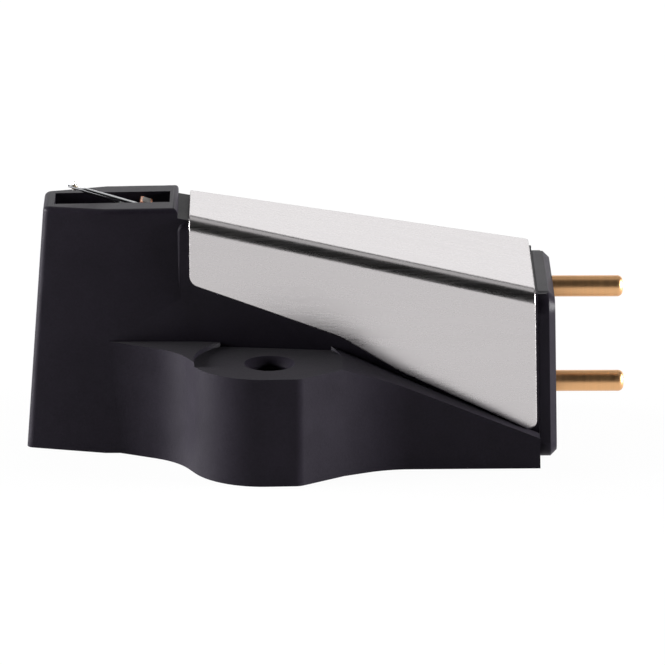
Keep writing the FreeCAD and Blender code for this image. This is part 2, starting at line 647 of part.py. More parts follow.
def make_rear_plate():
    """The plate closes the tray, reaches a little way into it and carries the two pins."""
    body = new_body("rear_plate")
    front = "%s + Sizes.plate_gap"
    low = "Sizes.plate_bottom"
    high = "Sizes.plate_top"
    side = new_sketch(body, "XZ_Plane", "plate_outline")
    add_polygon(side, [
        (front % rear_at(low), low), (front % rear_at(low) + " + Sizes.plate_thickness", low),
        (front % rear_at(high) + " + Sizes.plate_thickness", high), (front % rear_at(high), high),
    ])
    plate = add_pad(body, side, "plate", "2 * Sizes.plate_half", both_ways=True)
    DOC.recompute()
    corners = edges_where(plate, lambda edge: runs_along(edge, "X"))
    rounded = add_rounding(body, "plate_corners", plate, corners, cell("plate_corner"))
    DOC.recompute()
    outer = edges_where(rounded, lambda edge: not runs_along(edge, "X") and
                        edge.CenterOfMass.x > size("rear_x") + size("plate_thickness") / 2)
    add_rounding(body, "plate_bevels", rounded, outer, cell("plate_bevel"), kind="Chamfer")
    add_spigot(body)
    holes = new_sketch(body, "YZ_Plane", "pin_hole_outline", cell("cover_rear_x") + " - %g" % BEYOND)
    for height in ("upper_pin_height", "lower_pin_height"):
        add_circle(holes, "0", cell(height), cell("pin_root_radius"))
    add_pocket(body, holes, "pin_holes", "%g" % (3 * BEYOND), backwards=True)
    return body


def add_spigot(body):
    """The part of the rear plate that reaches into the tray."""
    low = "Sizes.tray_floor + Sizes.spigot_gap"
    high = "Sizes.plate_top - Sizes.spigot_gap"
    inner = "%s - Sizes.spigot_depth"
    outer = "%s + Sizes.plate_gap + Sizes.plate_thickness / 2"
    side = new_sketch(body, "XZ_Plane", "spigot_outline")
    add_polygon(side, [
        (inner % rear_at(low), low), (outer % rear_at(low), low),
        (outer % rear_at(high), high), (inner % rear_at(high), high),
    ])
    reach = "Sizes.rear_x - Sizes.spigot_depth - %s * tan(Sizes.rear_lean)" % cell("plate_top")
    half = "%s - Sizes.tray_wall - Sizes.spigot_gap" % tray_half_at(reach)
    add_pad(body, side, "spigot", "2 * (%s)" % half, both_ways=True)
    DOC.recompute()


def make_pin(label, height):
    """A terminal pin turned from rod. Its shoulder seats on the plate, its root goes through it."""
    body = new_body(label)
    root = "-(Sizes.plate_thickness + Sizes.plate_gap + Sizes.spigot_depth)"
    tail = root + " - Sizes.pin_tail_length"
    profile = new_sketch(body, "XZ_Plane", label + "_profile")
    add_polygon(profile, [
        (tail, "0"), ("Sizes.pin_reach", "0"), ("Sizes.pin_reach", "Sizes.pin_radius"),
        ("0", "Sizes.pin_radius"), ("0", "Sizes.pin_root_radius"),
        (root, "Sizes.pin_root_radius"), (root, "Sizes.pin_tail_radius"), (tail, "Sizes.pin_tail_radius"),
    ])
    turned = body.newObject("PartDesign::Revolution", label + "_turned")
    turned.Profile = profile
    turned.ReferenceAxis = (profile, ["H_Axis"])
    DOC.recompute()
    tip = edges_where(turned, lambda edge: is_circle(edge, size("pin_radius")) and
                      near_point(edge, x=size("pin_reach")))
    add_rounding(body, label + "_tip", turned, tip, cell("pin_tip_radius"))
    body.setExpression("Placement.Base.x", "%s + Sizes.plate_gap + Sizes.plate_thickness" % rear_at(height))
    body.setExpression("Placement.Base.z", height)
    return body


# The generator, in its own frame

def place_on_arm(item):
    """Move a piece from the generator frame to the body."""
    item.Placement = FreeCAD.Placement(FreeCAD.Vector(), FreeCAD.Rotation(ORIGIN_DIRECTIONS["Y"], 1))
    item.setExpression("Placement.Base.x", cell("pivot_x"))
    item.setExpression("Placement.Base.z", PIVOT_HEIGHT)
    item.setExpression("Placement.Rotation.Angle", cell("arm_tilt"))
    return item


def box(name, x, y, z):
    """A box between two expressions along each axis."""
    item = DOC.addObject("Part::Box", name)
    for axis, length, (low, high) in (("x", "Length", x), ("y", "Width", y), ("z", "Height", z)):
        item.setExpression("Placement.Base." + axis, low)
        item.setExpression(length, "(%s) - (%s)" % (high, low))
    return item


def rod(name, radius, start, length, axis="X", at=("0", "0")):
    """A cylinder along an axis, from a start, with its centre line at two other coordinates."""
    item = DOC.addObject("Part::Cylinder", name)
    item.setExpression("Radius", radius)
    item.setExpression("Height", length)
    turn = FreeCAD.Rotation(ORIGIN_DIRECTIONS["Z"], ORIGIN_DIRECTIONS[axis])
    item.Placement = FreeCAD.Placement(FreeCAD.Vector(), turn)
    others = [letter for letter in "XYZ" if letter != axis]
    item.setExpression("Placement.Base." + axis.lower(), start)
    for letter, place in zip(others, at):
        item.setExpression("Placement.Base." + letter.lower(), place)
    return item


def cut(name, base, tools):
    """The base with each tool taken away in turn. The last one carries the name."""
    for number, tool in enumerate(tools, start=1):
        last = number == len(tools)
        item = DOC.addObject("Part::Cut", name if last else "%s_cut_%d" % (name, number))
        item.Base = base
        item.Tool = tool
        base = item
    base.Label = name
    return base


def make_front_yoke():
    """A plate with a notch at its top that the arm passes through."""
    front = "-Sizes.front_yoke_front"
    back = front + " + Sizes.front_yoke_thickness"
    plate = box("front_yoke_plate", (front, back), ("-Sizes.yoke_half", "Sizes.yoke_half"),
                ("-Sizes.yoke_foot", "-Sizes.front_yoke_top"))
    depth = "-(Sizes.front_yoke_top + Sizes.front_notch_depth)"
    notch = box("front_yoke_notch", (front + " - 1", back + " + 1"),
                ("-Sizes.front_notch_half", "Sizes.front_notch_half"), (depth, "1"))
    return place_on_arm(cut("front_yoke", plate, [notch]))


def make_magnet():
    """The magnet fills the space between the two yokes."""
    block = box("magnet_piece", ("Sizes.front_yoke_thickness - Sizes.front_yoke_front", "Sizes.rear_yoke_front"),
                ("-Sizes.yoke_half", "Sizes.yoke_half"), ("-Sizes.yoke_foot", "-Sizes.magnet_top"))
    # the block's own placement is its corner, so a copy of it takes the generator's place
    holder = DOC.addObject("Part::Compound", "magnet_block")
    holder.Links = [block]
    holder.Label = "magnet"
    return place_on_arm(holder)


def make_rear_yoke():
    """A plate bored for the sleeve along the arm and for the set screw from its near side."""
    back = "Sizes.rear_yoke_front + Sizes.rear_yoke_thickness"
    plate = box("rear_yoke_plate", ("Sizes.rear_yoke_front", back), ("-Sizes.yoke_half", "Sizes.yoke_half"),
                ("-Sizes.yoke_foot", "Sizes.rear_yoke_top"))
    bore = rod("rear_yoke_bore", "Sizes.sleeve_radius + Sizes.sleeve_gap", "0", "3 * Sizes.rear_yoke_front")
    middle = "Sizes.rear_yoke_front + Sizes.rear_yoke_thickness / 2"
    thread = rod("rear_yoke_thread", "Sizes.setscrew_radius", "-2 * Sizes.yoke_half", "2 * Sizes.yoke_half",
                 axis="Y", at=(middle, "0"))
    return place_on_arm(cut("rear_yoke", plate, [bore, thread]))


def make_rear_pole():
    start = "Sizes.rear_yoke_front - Sizes.pole_length"
    outer = rod("rear_pole_rod", "Sizes.pole_radius", start, "Sizes.pole_length")
    bore = rod("rear_pole_bore", "Sizes.sleeve_radius + Sizes.sleeve_gap", "0", "2 * Sizes.rear_yoke_front")
    return place_on_arm(cut("rear_pole", outer, [bore]))


def make_sleeve():
    outer = rod("sleeve_rod", "Sizes.sleeve_radius", "Sizes.sleeve_front", "Sizes.sleeve_length")
    bore = rod("sleeve_bore_rod", "Sizes.sleeve_bore", "0", "2 * (Sizes.sleeve_front + Sizes.sleeve_length)")
    return place_on_arm(cut("tie_wire_sleeve", outer, [bore]))


def make_tie_wire():
    length = "Sizes.wire_front + Sizes.sleeve_front + Sizes.sleeve_length + Sizes.wire_rear"
    wire = rod("tie_wire_rod", "Sizes.wire_radius", "-Sizes.wire_front", length)
    holder = DOC.addObject("Part::Compound", "tie_wire_length")
    holder.Links = [wire]
    holder.Label = "tie_wire"
    return place_on_arm(holder)


def make_setscrew():
    """The screw clamps the sleeve from the near side. Its head end has a slot."""
    middle = "Sizes.rear_yoke_front + Sizes.rear_yoke_thickness / 2"
    length = "Sizes.yoke_half - Sizes.sleeve_radius - Sizes.sleeve_gap"
    screw = rod("setscrew_rod", "Sizes.setscrew_radius", "-Sizes.yoke_half", length, axis="Y", at=(middle, "0"))
    slot = box("setscrew_slot_box", (middle + " - 1", middle + " + 1"),
               ("-Sizes.yoke_half - 1", "-Sizes.yoke_half + Sizes.setscrew_slot"),
               ("-Sizes.setscrew_slot / 2", "Sizes.setscrew_slot / 2"))
    return place_on_arm(cut("set_screw", screw, [slot]))


def make_damper():
    outer = rod("damper_rod", "Sizes.damper_radius", "Sizes.damper_front", "Sizes.damper_length")
    bore = rod("damper_bore_rod", "Sizes.damper_bore", "0", "2 * (Sizes.damper_front + Sizes.damper_length)")
    return place_on_arm(cut("damper_ring", outer, [bore]))


# The moving arm

def make_coil_former():
    """A square plate with a short hub behind it, bored for the end of the tie wire."""
    half = ("-Sizes.former_half", "Sizes.former_half")
    plate = box("former_plate", ("-Sizes.former_front", "-Sizes.former_rear"), half, half)
    hub = rod("former_hub", "Sizes.hub_radius", "-Sizes.former_front", "Sizes.former_front")
    whole = DOC.addObject("Part::Fuse", "former_whole")
    whole.Base = plate
    whole.Tool = hub
    bore = rod("former_bore_rod", "Sizes.former_bore", "-2 * Sizes.former_front", "3 * Sizes.former_front")
    return place_on_arm(cut("coil_former", whole, [bore]))


def make_coil():
    """The winding lies round the former in two halves, one each side of the arm's axis."""
    halves = []
    for name, sign in (("upper", ""), ("lower", "-")):
        middle = "%sSizes.winding_offset" % sign
        rise = (middle + " - Sizes.winding_height / 2", middle + " + Sizes.winding_height / 2")
        outer = box("winding_%s_outer" % name,
                    ("-Sizes.former_front - Sizes.winding_build", "-Sizes.former_rear + Sizes.winding_build"),
                    ("-Sizes.former_half - Sizes.winding_build", "Sizes.former_half + Sizes.winding_build"), rise)
        inner = box("winding_%s_inner" % name, ("-Sizes.former_front", "-Sizes.former_rear"),
                    ("-Sizes.former_half", "Sizes.former_half"), (rise[0] + " - 1", rise[1] + " + 1"))
        halves.append(cut("winding_" + name, outer, [inner]))
    coil = DOC.addObject("Part::Compound", "coil")
    coil.Links = halves
    coil.Label = "coil"
    return place_on_arm(coil)


def make_cantilever():
    """A tapered tube whose front end is pressed flat and bored for the stylus."""
    taper = DOC.addObject("Part::Cone", "arm_taper")
    taper.Placement = FreeCAD.Placement(
        FreeCAD.Vector(), FreeCAD.Rotation(ORIGIN_DIRECTIONS["Z"], ORIGIN_DIRECTIONS["X"]))
    taper.setExpression("Radius1", "Sizes.arm_front_radius")
    taper.setExpression("Radius2", "Sizes.arm_rear_radius")
    taper.setExpression("Height", "Sizes.arm_tube_end - Sizes.former_front")
    taper.setExpression("Placement.Base.x", "-Sizes.arm_tube_end")
    bore = rod("arm_bore_rod", "Sizes.arm_bore", "-2 * Sizes.arm_tube_end", "2 * Sizes.arm_tube_end")
    tube = cut("arm_tube", taper, [bore])
    overlap = "-Sizes.arm_tube_end + Sizes.arm_bore"
    flat = box("arm_tip_flat", ("-Sizes.arm_tip_end", overlap), ("-Sizes.arm_tip_half", "Sizes.arm_tip_half"),
               ("-Sizes.arm_tip_thickness / 2", "Sizes.arm_tip_thickness / 2"))
    whole = DOC.addObject("Part::Fuse", "arm_whole")
    whole.Base = tube
    whole.Tool = flat
    hole = DOC.addObject("Part::Cylinder", "stylus_hole")
    hole.Placement = FreeCAD.Placement(FreeCAD.Vector(), FreeCAD.Rotation(ORIGIN_DIRECTIONS["Y"], -1))
    hole.setExpression("Placement.Rotation.Angle", "-Sizes.arm_tilt")
    hole.setExpression("Radius", "Sizes.stylus_radius + Sizes.stylus_gap")
    hole.setExpression("Height", "2 * Sizes.shank_length")
    down = "Sizes.shank_length"
    reach = "(Sizes.stylus_x - Sizes.pivot_x) / cos(Sizes.arm_tilt)"
    hole.setExpression("Placement.Base.x", "%s + %s * sin(Sizes.arm_tilt)" % (reach, down))
    hole.setExpression("Placement.Base.z", "-%s * cos(Sizes.arm_tilt)" % down)
    return place_on_arm(cut("cantilever", whole, [hole]))


def make_stylus_shank():
    return rod("stylus_shank", cell("stylus_radius"), "%s - Sizes.shank_length" % STYLUS_SHOULDER,
               cell("shank_length"), axis="Z", at=(cell("stylus_x"), "0"))


def make_stylus_tip():
    tip = DOC.addObject("Part::Cone", "stylus_tip")
    tip.setExpression("Radius1", cell("stylus_radius"))
    tip.setExpression("Radius2", cell("stylus_point_radius"))
    tip.setExpression("Height", cell("stylus_cone"))
    tip.setExpression("Placement.Base.x", cell("stylus_x"))
    tip.setExpression("Placement.Base.z", STYLUS_SHOULDER)
    return tip


# The inner leads

def rounded_path(points, radius):
    """A wire of straight runs joined by tangent arcs of one radius."""
    edges = []
    start = points[0]
    for before, corner, after in zip(points, points[1:], points[2:]):
        back = (before - corner).normalize()
        ahead = (after - corner).normalize()
        half_turn = (math.pi - back.getAngle(ahead)) / 2
        reach = radius * math.tan(half_turn)
        middle = (back + ahead).normalize()
        entry = corner + back * reach
        leave = corner + ahead * reach
        crown = corner + middle * (radius / math.cos(half_turn) - radius)
        edges.append(Part.LineSegment(start, entry).toShape())
        edges.append(Part.Arc(entry, crown, leave).toShape())
        start = leave
    edges.append(Part.LineSegment(start, points[-1]).toShape())
    return Part.Wire(edges)


def make_lead(label, side, height):
    """An insulated lead from the passage behind the generator to the solder tail of a pin."""
    tilt = math.radians(size("arm_tilt"))
    pivot_height = number(PIVOT_HEIGHT)
    rear = number(rear_at(cell(height)))
    tail = rear - size("spigot_depth") - size("pin_tail_length")
    start = FreeCAD.Vector(size("pivot_x") + size("lead_start") * math.cos(tilt), side * size("lead_start_half"),
                           pivot_height - size("lead_start") * math.sin(tilt))
    turn = FreeCAD.Vector(size("tray_cavity_front_x") + size("lead_turn"), side * size("lead_turn_half"),
                          pivot_height - size("lead_turn_drop"))
    pin_height = size(height)
    rest = FreeCAD.Vector(tail - size("lead_rest"), side * size("lead_slack"), pin_height)
    entry = FreeCAD.Vector(tail - 2 * size("lead_bend"), 0, pin_height)
    end = FreeCAD.Vector(tail, 0, pin_height)
    path = rounded_path([start, turn, rest, entry, end], size("lead_bend"))
    section = Part.Wire([Part.makeCircle(size("lead_radius"), start, turn - start)])
    lead = DOC.addObject("Part::Feature", label)
    lead.Shape = path.makePipeShell([section], True, False)
    return lead


def make_leads():
    return [make_lead("signal_lead", -1, "upper_pin_height"), make_lead("return_lead", 1, "lower_pin_height")]


# The whole cartridge

def check(pieces):
    """Stop if any object failed or any piece has no valid solid."""
    for item in DOC.Objects:
        if "Invalid" in item.State or "Error" in item.State:
            raise RuntimeError("%s failed: %s" % (item.Name, item.State))
    for piece in pieces:
        shape = piece.Shape
        if shape.isNull() or not shape.isValid() or not shape.Solids:
            raise RuntimeError("%s has no valid solid" % piece.Label)


def main():
    pieces = [
        make_body_shell(),
        make_cover(),
        make_rear_plate(),
        make_pin("terminal_pin_upper", cell("upper_pin_height")),
        make_pin("terminal_pin_lower", cell("lower_pin_height")),
        make_front_yoke(),
        make_magnet(),
        make_rear_yoke(),
        make_rear_pole(),
        make_sleeve(),
        make_tie_wire(),
        make_setscrew(),
        make_damper(),
        make_coil_former(),
        make_coil(),
        make_cantilever(),
        make_stylus_shank(),
        make_stylus_tip(),
    ]
    pieces += make_leads()
    DOC.recompute()
    check(pieces)
    os.makedirs("parts", exist_ok=True)
    for piece in pieces:
        piece.Shape.exportStep(os.path.join("parts", piece.Label + ".step"))
        print("%-20s %9.4f mm3 %s" % (piece.Label, piece.Shape.Volume, piece.Shape.BoundBox))


main()
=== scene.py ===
"""Looks of a turntable stylus cartridge: satin black moulding, brushed cover, gold pins, fine generator."""
import json
import math

import bmesh
import bpy
from mathutils import Matrix, Vector


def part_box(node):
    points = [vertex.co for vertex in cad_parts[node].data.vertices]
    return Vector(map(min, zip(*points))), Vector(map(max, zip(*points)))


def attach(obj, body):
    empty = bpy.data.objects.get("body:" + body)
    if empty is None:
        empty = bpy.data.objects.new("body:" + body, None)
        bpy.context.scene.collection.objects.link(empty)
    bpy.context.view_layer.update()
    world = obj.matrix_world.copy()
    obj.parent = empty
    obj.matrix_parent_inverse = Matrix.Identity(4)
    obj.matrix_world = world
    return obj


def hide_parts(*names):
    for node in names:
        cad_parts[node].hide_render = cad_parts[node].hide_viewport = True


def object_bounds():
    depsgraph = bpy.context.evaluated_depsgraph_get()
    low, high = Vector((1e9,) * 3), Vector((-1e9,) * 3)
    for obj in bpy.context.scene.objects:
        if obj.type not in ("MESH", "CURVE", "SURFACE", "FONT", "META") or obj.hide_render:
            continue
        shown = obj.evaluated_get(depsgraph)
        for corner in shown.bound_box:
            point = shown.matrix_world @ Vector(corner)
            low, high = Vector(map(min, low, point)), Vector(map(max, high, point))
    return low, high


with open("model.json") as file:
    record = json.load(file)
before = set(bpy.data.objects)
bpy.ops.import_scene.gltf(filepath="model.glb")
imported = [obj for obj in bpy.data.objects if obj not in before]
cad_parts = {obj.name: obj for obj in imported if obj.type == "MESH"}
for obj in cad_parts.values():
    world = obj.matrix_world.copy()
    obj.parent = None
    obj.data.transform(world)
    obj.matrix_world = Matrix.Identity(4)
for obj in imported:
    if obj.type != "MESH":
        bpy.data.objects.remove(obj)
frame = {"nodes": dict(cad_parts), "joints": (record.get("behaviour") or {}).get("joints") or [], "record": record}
CAD_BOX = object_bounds()

bl_info = {
    "name": "Stylus Cartridge Finish",
    "version": (1, 0, 0),
    "blender": (4, 5, 0),
    "location": "View3D > Sidebar > Cartridge",
    "description": "Dresses the moulding, cover, pins and generator of a moving coil cartridge",
    "category": "Object",
}

MM = 0.001
MAIN_BODY = "root"
SUSPENSION = "suspension"
ARM = "stylus_arm"
PIVOT = Vector(next(joint for joint in frame["joints"] if joint["child"] == SUSPENSION)["pos_m"])
SWAY_AXIS = Vector(next(joint for joint in frame["joints"] if joint["child"] == ARM)["axis"]).normalized()
ARM_AXIS = Vector((SWAY_AXIS.z, 0.0, -SWAY_AXIS.x))

# corners nearer than this belong together, and edges shorter than this come out, in metres
JOIN_GAP = 2e-6
SHORTEST_EDGE = 2e-5
# in degrees: faces that turn less are one flat face, and edges that turn more are real ones, not facets
FLAT_ANGLE = 0.3
REAL_EDGE_ANGLE = 32.0
EDGE_SEGMENTS = 2
# the middle stretch of a noise, which holds nearly all of its values
TONE_LOW = 0.35
TONE_HIGH = 0.65

# Meshes

def arm_frame():
    """The generator frame: x rearwards along the arm, z away from the body, origin at the pivot."""
    turn = Matrix((ARM_AXIS, (0.0, 1.0, 0.0), SWAY_AXIS)).transposed().to_4x4()
    return Matrix.Translation(PIVOT) @ turn


def object_from(mesh_tool, name, material):
    """Turn an edit mesh into an object with its material, and free it."""
    mesh = bpy.data.meshes.new(name)
    mesh_tool.normal_update()
    mesh_tool.to_mesh(mesh)
    mesh_tool.free()
    item = bpy.data.objects.new(name, mesh)
    bpy.context.scene.collection.objects.link(item)
    mesh.materials.append(material)
    return item


def shade_smooth(item, angle=None):
    """Smooth shading, with edges sharper than the angle kept crisp."""
    item.data.polygons.foreach_set("use_smooth", [True] * len(item.data.polygons))
    if angle is not None:
        item.data.set_sharp_from_angle(angle=angle)


def joined_skin(node):
    """A node's faces joined into one closed skin, with the flat ones merged and tiny edges taken out."""
    skin = bmesh.new()
    skin.from_mesh(frame["nodes"][node].data)
    bmesh.ops.remove_doubles(skin, verts=skin.verts, dist=JOIN_GAP)
    bmesh.ops.dissolve_limit(skin, angle_limit=math.radians(FLAT_ANGLE), verts=skin.verts, edges=skin.edges)
    bmesh.ops.remove_doubles(skin, verts=skin.verts, dist=SHORTEST_EDGE)
    return skin


def break_edges(skin, width):
    """Round every real edge a little. The facets of curved faces meet at smaller angles."""
    limit = math.radians(REAL_EDGE_ANGLE)
    edges = [edge for edge in skin.edges if edge.is_manifold and edge.calc_face_angle() > limit]
    bmesh.ops.bevel(skin, geom=edges, offset=width, offset_type="OFFSET", segments=EDGE_SEGMENTS,
                    profile=0.5, affect="EDGES", clamp_overlap=True)


def weight_normals(item):
    weighted = item.modifiers.new("face_weighted_normals", "WEIGHTED_NORMAL")
    weighted.keep_sharp = False
    weighted.weight = 100


def softened_node(node, name, width, material):
    """A copy of a node with broken edges, made to stand in its place."""
    skin = joined_skin(node)
    break_edges(skin, width)
    item = object_from(skin, name, material)
    shade_smooth(item)
    weight_normals(item)
    return item


def lathe(name, profile, place, material, steps=48):
    """Turn (along, radius) pairs round the x axis of a placement. Ends of radius 0 close the form."""
    tool = bmesh.new()
    rings = []
    for along, radius in profile:
        if radius <= 0:
            rings.append([tool.verts.new(place @ Vector((along, 0, 0)))])
            continue
        angles = [2 * math.pi * step / steps for step in range(steps)]
        rings.append([tool.verts.new(place @ Vector((along, radius * math.cos(a), radius * math.sin(a))))
                      for a in angles])
    for ring, following in zip(rings, rings[1:]):
        for step in range(steps):
            corners = [ring[step % len(ring)], ring[(step + 1) % len(ring)],
                       following[(step + 1) % len(following)], following[step % len(following)]]
            tool.faces.new(list(dict.fromkeys(corners)))
    bmesh.ops.recalc_face_normals(tool, faces=tool.faces)
    item = object_from(tool, name, material)
    shade_smooth(item, math.radians(35))
    return item


def arc_points(centre, radius, start, end, count):
    """(along, radius) pairs of an arc, with its angles in degrees from the x axis."""
    points = []
    for step in range(count + 1):
        angle = math.radians(start + (end - start) * step / count)
        points.append((centre[0] + radius * math.cos(angle), centre[1] + radius * math.sin(angle)))
    return points


def arm_extent(node):
    """The lowest and highest corner of a node in the generator frame."""
    back = arm_frame().inverted()
    points = [back @ vertex.co for vertex in frame["nodes"][node].data.vertices]
    low = Vector([min(point[axis] for point in points) for axis in range(3)])
    high = Vector([max(point[axis] for point in points) for axis in range(3)])
    return low, high


def upright_at(node):
    """A placement whose x axis runs up through the middle of a node."""
    low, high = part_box(node)
    middle = (low + high) / 2
    return Matrix.Translation((middle.x, middle.y, 0)) @ Matrix.Rotation(math.radians(-90), 4, "Y")


# Node groups and materials

def new_group(name, inputs, outputs):
    """An empty shader node group with its sockets. Inputs are (name, type, value)."""
    group = bpy.data.node_groups.new(name, "ShaderNodeTree")
    for label, kind, value in inputs:
        socket = group.interface.new_socket(label, in_out="INPUT", socket_type=kind)
        socket.default_value = value
    for label, kind in outputs:
        group.interface.new_socket(label, in_out="OUTPUT", socket_type=kind)
    return group, group.nodes.new("NodeGroupInput"), group.nodes.new("NodeGroupOutput")


def group_named(name, make):
    return bpy.data.node_groups.get(name) or make(name)


def math_node(tree, operation, first, second):
    node = tree.nodes.new("ShaderNodeMath")
    node.operation = operation
    for socket, value in zip(node.inputs, (first, second)):
        if isinstance(value, (int, float)):
            socket.default_value = value
        else:
            tree.links.new(value, socket)
    return node.outputs[0]


def vector_node(tree, operation, first, second):
    node = tree.nodes.new("ShaderNodeVectorMath")
    node.operation = operation
    for socket, value in zip(node.inputs, (first, second)):
        if isinstance(value, (tuple, Vector)):
            socket.default_value = value
        else:
            tree.links.new(value, socket)
    return node.outputs[0]


def scale_node(tree, vector, factor):
    node = tree.nodes.new("ShaderNodeVectorMath")
    node.operation = "SCALE"
    tree.links.new(vector, node.inputs[0])
    tree.links.new(factor, node.inputs["Scale"])
    return node.outputs[0]


def noise_node(tree, vector, detail, roughness):
    noise = tree.nodes.new("ShaderNodeTexNoise")
    noise.inputs["Scale"].default_value = 1.0
    noise.inputs["Detail"].default_value = detail
    noise.inputs["Roughness"].default_value = roughness
    tree.links.new(vector, noise.inputs["Vector"])
    return noise.outputs["Fac"]


def object_millimetres(tree):
    coordinates = tree.nodes.new("ShaderNodeTexCoord")
    return vector_node(tree, "MULTIPLY", coordinates.outputs["Object"], (1 / MM, 1 / MM, 1 / MM))


def make_fine_grain(name):
    """Spark-eroded mould texture: a fine height, and a slow unevenness of the gloss."""
    group, given, result = new_group(
        name,
        [("Grain Per Millimetre", "NodeSocketFloat", 14.0), ("Patch Per Millimetre", "NodeSocketFloat", 0.5)],
        [("Height", "NodeSocketFloat"), ("Tone", "NodeSocketFloat")])
    place = object_millimetres(group)
    fine = scale_node(group, place, given.outputs["Grain Per Millimetre"])
    slow = scale_node(group, place, given.outputs["Patch Per Millimetre"])
    height = noise_node(group, fine, 3.0, 0.6)
    group.links.new(height, result.inputs["Height"])
    patches = noise_node(group, slow, 4.0, 0.55)
    group.links.new(math_node(group, "MULTIPLY", math_node(group, "ADD", patches, height), 0.5),
                    result.inputs["Tone"])
    return group


def make_drawn_lines(name):
    """Fine parallel lines of brushing, drawing or turning, so many to the millimetre each way."""
    group, given, result = new_group(
        name, [("Lines Per Millimetre", "NodeSocketVector", (1.0, 30.0, 30.0))],
        [("Height", "NodeSocketFloat"), ("Tone", "NodeSocketFloat")])
    place = object_millimetres(group)
    lines = noise_node(group, vector_node(group, "MULTIPLY", place, given.outputs[0]), 3.0, 0.7)
    wide = vector_node(group, "MULTIPLY", given.outputs[0], (0.18, 0.18, 0.18))
    bands = noise_node(group, vector_node(group, "MULTIPLY", place, wide), 2.0, 0.5)
    group.links.new(lines, result.inputs["Height"])
    group.links.new(math_node(group, "MULTIPLY", math_node(group, "ADD", lines, bands), 0.5),
                    result.inputs["Tone"])
    return group


def new_material(name, colour, roughness, metallic=0.0, **sockets):
    """A material with its Principled shader set. Returns the material and the shader."""
    material = bpy.data.materials.new(name)
    material.use_nodes = True
    shader = material.node_tree.nodes["Principled BSDF"]
    shader.inputs["Base Color"].default_value = (*colour, 1.0)
    shader.inputs["Roughness"].default_value = roughness
    shader.inputs["Metallic"].default_value = metallic
    for label, value in sockets.items():
        shader.inputs[label.replace("_", " ")].default_value = value
    return material, shader


def place_group(material, group, **values):
    node = material.node_tree.nodes.new("ShaderNodeGroup")
    node.node_tree = group
    for label, value in values.items():
        node.inputs[label.replace("_", " ")].default_value = value
    return node


def tone_range(tree, tone, low, high):
    """Spread a tone, whose values crowd round the middle, over a range."""
    spread = tree.nodes.new("ShaderNodeMapRange")
    for label, value in (("From Min", TONE_LOW), ("From Max", TONE_HIGH), ("To Min", low), ("To Max", high)):
        spread.inputs[label].default_value = value
    tree.links.new(tone, spread.inputs["Value"])
    return spread.outputs["Result"]


def drive(material, shader, effect, dark, light, smooth, rough, depth):
    """Vary colour and roughness with the effect's tone, and the normal with its height in metres."""
    tree = material.node_tree
    tone = effect.outputs["Tone"]
    colours = tree.nodes.new("ShaderNodeMix")
    colours.data_type = "RGBA"
    colours.inputs["A"].default_value = (*dark, 1.0)
    colours.inputs["B"].default_value = (*light, 1.0)
    tree.links.new(tone_range(tree, tone, 0.0, 1.0), colours.inputs["Factor"])
    tree.links.new(colours.outputs["Result"], shader.inputs["Base Color"])
    tree.links.new(tone_range(tree, tone, smooth, rough), shader.inputs["Roughness"])
    bump = tree.nodes.new("ShaderNodeBump")
    bump.inputs["Distance"].default_value = depth
    tree.links.new(effect.outputs["Height"], bump.inputs["Height"])
    tree.links.new(bump.outputs["Normal"], shader.inputs["Normal"])


def grained(name, colour, roughness, depth, grain=14.0, **sockets):
    """A matt or satin surface with fine grain."""
    material, shader = new_material(name, colour, roughness, **sockets)
    effect = place_group(material, group_named("fine_grain", make_fine_grain), Grain_Per_Millimetre=grain)
    dark = [0.85 * part for part in colour]
    light = [1.15 * part for part in colour]
    drive(material, shader, effect, dark, light, 0.9 * roughness, 1.1 * roughness, depth)
    return material


def lined(name, colour, roughness, depth, lines, contrast=0.08, **sockets):
    """A metal surface with fine lines."""
    material, shader = new_material(name, colour, roughness, 1.0, **sockets)
    effect = place_group(material, group_named("drawn_lines", make_drawn_lines), Lines_Per_Millimetre=lines)
    dark = [(1 - contrast) * part for part in colour]
    light = [min(1.0, (1 + contrast) * part) for part in colour]
    drive(material, shader, effect, dark, light, 0.85 * roughness, 1.2 * roughness, depth)
    return material


def finish_node(node, material, edge=0.0):
    """Give a node its material and, where it has sharp edges, break them."""
    item = frame["nodes"][node]
    for slot in item.material_slots:
        slot.material = material
    if edge:
        weld = item.modifiers.new("joined_faces", "WELD")
        weld.merge_threshold = JOIN_GAP
        bevel = item.modifiers.new("broken_edges", "BEVEL")
        bevel.limit_method = "ANGLE"
        bevel.angle_limit = math.radians(REAL_EDGE_ANGLE)
        bevel.width = edge
        bevel.segments = EDGE_SEGMENTS
        weight_normals(item)


# Settings

class CartridgeFinishSettings(bpy.types.PropertyGroup):
    plastic_colour: bpy.props.FloatVectorProperty(
        name="Moulding", description="Colour of the black moulding", subtype="COLOR", size=3,
        default=(0.0098, 0.0081, 0.0124), min=0, max=1)
    plastic_roughness: bpy.props.FloatProperty(
        name="Moulding roughness", description="Gloss of the black moulding", default=0.44, min=0, max=1)
    cover_colour: bpy.props.FloatVectorProperty(
        name="Cover", description="Colour of the brushed cover", subtype="COLOR", size=3,
        default=(0.57, 0.545, 0.55), min=0, max=1)
    cover_roughness: bpy.props.FloatProperty(
        name="Cover roughness", description="Gloss of the brushed cover", default=0.27, min=0, max=1)
    gold_colour: bpy.props.FloatVectorProperty(
        name="Gold", description="Colour of the gold pins", subtype="COLOR", size=3,
        default=(0.74, 0.42, 0.2), min=0, max=1)
    arm_colour: bpy.props.FloatVectorProperty(
        name="Cantilever", description="Colour of the aluminium cantilever", subtype="COLOR", size=3,
        default=(0.78, 0.79, 0.81), min=0, max=1)
    copper_colour: bpy.props.FloatVectorProperty(
        name="Winding", description="Colour of the enamelled copper wire", subtype="COLOR", size=3,
        default=(0.62, 0.24, 0.09), min=0, max=1)


